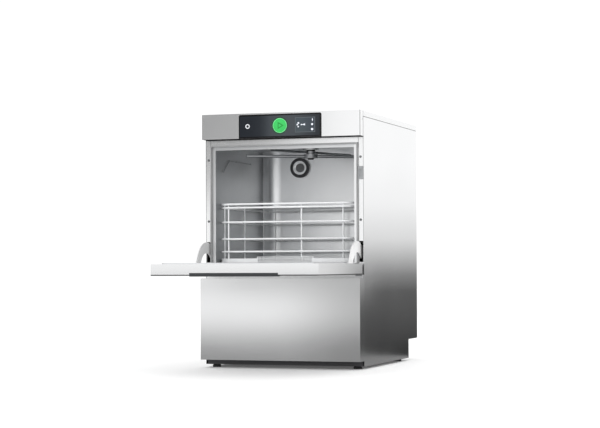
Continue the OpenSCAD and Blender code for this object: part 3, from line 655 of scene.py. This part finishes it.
# Painted shadow: the door's outer panel is near-black in a band along its lowest edge, for the
# shadowed gap line under the door.
door_skin = brushed("brushed_door", STEEL, 0.20, flat_grain,
                    dark_edge_band=[("Z", "GREATER_THAN", door_box[0][2] + 0.1 * MM),
                          ("Z", "LESS_THAN", door_box[0][2] + 2.8 * MM)], edge_shade=0.05)
lid = brushed("brushed_lid", STEEL, 0.22, (8, 2600, 8))
chamber = wash_steel("chamber_sheet", (0.70, 0.71, 0.72), 0.36)
liner = wash_steel("door_liner_sheet", (0.76, 0.77, 0.78), 0.32)
bright = tube_steel("bright_tube", (0.80, 0.80, 0.80), 0.24)
strainer_sheet = perforated("strainer_sheet", (0.66, 0.665, 0.67), 0.3, 6 * MM)
filter_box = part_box("filter_cylinder")
filter_mid = (Vector(filter_box[0]) + Vector(filter_box[1])) / 2
filter_sheet = perforated("filter_sheet", (0.66, 0.665, 0.67), 0.3, 4.5 * MM,
                          (filter_mid.x, filter_mid.y, (filter_box[1][0] - filter_box[0][0]) / 2))
arm_tube = tube_steel("arm_tube", (0.52, 0.53, 0.54), 0.34)
zinc = tube_steel("zinc_steel", (0.42, 0.43, 0.44), 0.42)
screw = tube_steel("screw_steel", (0.20, 0.205, 0.21), 0.4)
plinth = moulded("plinth_coat", (0.05, 0.05, 0.055), 0.5)
glass = glass_front("dark_glass", glass_box, button_at, RIM_R)
screen = screen_front("display_screen", screen_box)
green = lit("start_green", (0.024, 0.33, 0.068), 0.78, rough=0.35, ripple=0.05)
green_ink = lit("start_icon", (0.010, 0.20, 0.030), 0.35, rough=0.35, ripple=0.05)
icon_ink = lit("icon_white", (0.72, 0.74, 0.80), 0.25, rough=0.4)
rims = ring_light("button_rims", RIMS_APART_X, power_at, POWER_RING_R)
button_dark = moulded("button_dark", (0.02, 0.022, 0.03), 0.15, coat=0.5)
grip = moulded("grip_dark", (0.020, 0.023, 0.026), 0.45)
coated = moulded("arm_coat", (0.78, 0.78, 0.78), 0.4)
rack_white = moulded("rack_white", (0.88, 0.89, 0.90), 0.32, grain=500.0, coat=0.3)
rubber = moulded("black_rubber", (0.02, 0.02, 0.021), 0.65)
seal = moulded("seal_grey", (0.34, 0.343, 0.346), 0.6)
catch = moulded("catch_grey", (0.34, 0.35, 0.36), 0.5)
board = moulded("board_green", (0.02, 0.14, 0.06), 0.4)
motor = moulded("motor_paint", (0.10, 0.105, 0.11), 0.5)
off_white = moulded("pump_white", (0.66, 0.67, 0.66), 0.45)
black = moulded("black_plastic", (0.025, 0.025, 0.026), 0.45)
brass = tube_steel("brass", (0.66, 0.49, 0.24), 0.3)
back_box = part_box("chamber_back_wall")
# Painted light and shade: the chamber's back and side walls are one steel, yet the back is given a
# light colour (0.93) and the side walls a dark one (0.47), against 0.70 for the ceiling and tank.
chamber_back = wash_steel("chamber_back", (0.93, 0.94, 0.95), 0.34,
                          boss=(BOSS_X, back_box[1][1] - 1.5 * MM, BOSS_Z))
chamber_side = wash_steel("chamber_side", (0.47, 0.48, 0.49), 0.36, wall_box[0][0] + 0.6 * MM)

dress(["lower_front_panel", "rear_panel", "connection_plate"], panel)
dress(["door_outer_panel"], door_skin)
dress(["side_panel_left", "side_panel_right"], side)
dress(["front_frame"], frame_sheet)
dress(["top_lid"], lid)
dress(["control_fascia"], fascia)
dress(["chamber_left_wall", "chamber_right_wall"], chamber_side)
dress(["chamber_back_wall"], chamber_back)
dress(["chamber_ceiling", "wash_tank"], chamber)
dress(["door_inner_liner"], liner)
dress(["tank_strainer"], strainer_sheet)
dress(["filter_cylinder"], filter_sheet)
dress(["rack_rails", "upper_hub", "lower_hub", "rinse_boiler", "rinse_pipes"], bright)
dress(["upper_wash_arm", "upper_rinse_arm", "lower_wash_arm", "lower_rinse_arm"], arm_tube)
dress(["hinge_brackets", "hinge_pins", "tank_heater", "door_springs", "sensor_wire"], zinc)
dress(["panel_screws"], screw)
dress(["base_tray"], plinth)
dress(["control_glass"], glass)
dress(["display_screen"], screen)
dress(["start_button"], green)
dress(["button_bezels"], rims)
dress(["power_button"], button_dark)
dress(["door_handle"], grip)
dress(["hinge_arm_left", "hinge_arm_right"], coated)
dress(["rack_front", "rack_back", "rack_sides", "rack_floor", "rack_skirts"], rack_white)
dress(["feet"], rubber)
dress(["door_gasket"], seal)
dress(["door_catch"], catch)
dress(["control_board"], board)
dress(["wash_pump", "dosing_pumps"], motor)
dress(["overflow_pipe", "inlet_valve"], off_white)
dress(["wash_pipes", "drain_pump", "drain_outlet", "cable_gland", "arm_nuts"], black)
dress(["water_inlet"], brass)


# ---------------------------------------------------------------- added pieces

def start_icon():
    """The triangle outline on the start button."""
    bm = bmesh.new()
    y = start_box[0][1]
    outer = [(-5.6, 9.6), (-5.6, -9.6), (11.4, 0.0)]
    inner = [(-3.4, 5.6), (-3.4, -5.6), (6.6, 0.0)]
    cx, cz = start_mid.x, start_mid.z
    for i in range(3):
        n = (i + 1) % 3
        plate(bm, [(cx + p[0] * MM, cz + p[1] * MM)
                   for p in (outer[i], outer[n], inner[n], inner[i])], y + 0.1 * MM, 0.3 * MM)
    new_piece("start_icon", bm, "start_button", green_ink, smooth=False)


def display_icons():
    """Three status dots and two small generic signs on the display."""
    bm = bmesh.new()
    y = screen_box[0][1]
    thick = 0.15 * MM

    def dot(x, z, r, stretch=1.0):
        plate(bm, [((x + r * math.cos(a)) * MM, (z + stretch * r * math.sin(a)) * MM)
                   for a in (2 * math.pi * k / 20 for k in range(20))], y, thick)

    def shape(points):
        plate(bm, [(x * MM, z * MM) for x, z in points], y, thick)

    dot(94.0, 677.4, 1.2, 3.2)
    dot(93.1, 664.9, 2.9)
    dot(93.0, 651.4, 3.2)
    dot(53.6, 669.2, 2.6)
    dot(50.6, 664.6, 2.0)
    dot(53.2, 659.3, 2.0)
    shape([(60.6, 663.0), (66.0, 664.0), (72.9, 661.8), (72.9, 667.6), (66.0, 665.6),
           (60.6, 666.4)])
    new_piece("display_icons", bm, "cabinet", icon_ink, smooth=False)


def door_springs():
    """The door's two coil springs with plain ends. The real springs shorten as the door shuts;
    these keep one length.
    """
    low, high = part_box("door_springs")
    y = (low[1] + high[1]) / 2
    end = 10.5 * MM
    end_r, collar_r, lip = 5.4 * MM, 5.2 * MM, 3 * MM
    coil_r, wire = 4.2 * MM, 1.1 * MM
    turns, steps = 34, 10
    bm = bmesh.new()
    for x in (low[0] + end_r, high[0] - end_r):
        rise = high[2] - low[2] - 2 * end
        tube(bm, [Vector((x + coil_r * math.cos(2 * math.pi * i / steps),
                          y + coil_r * math.sin(2 * math.pi * i / steps),
                          low[2] + end + rise * i / (turns * steps)))
                  for i in range(turns * steps + 1)], wire, sides=6)
        for z in (low[2], high[2] - end):
            for bottom, top, r in ((0, end, collar_r), (lip, end - lip, end_r)):
                tube(bm, [Vector((x, y, z + bottom)), Vector((x, y, z + top))], r, sides=24)
    springs = new_piece("springs", bm, "cabinet", zinc)
    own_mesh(springs)
    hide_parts("door_springs")


start_icon()
display_icons()
door_springs()
for node in ("lower_front_panel", "top_lid", "control_fascia", "side_panel_left",
             "side_panel_right", "door_handle"):
    soften(node, 0.6 * MM)
soften("door_outer_panel", 0.5 * MM)
for node in ("hinge_arm_left", "hinge_arm_right"):
    soften(node, 0.8 * MM)
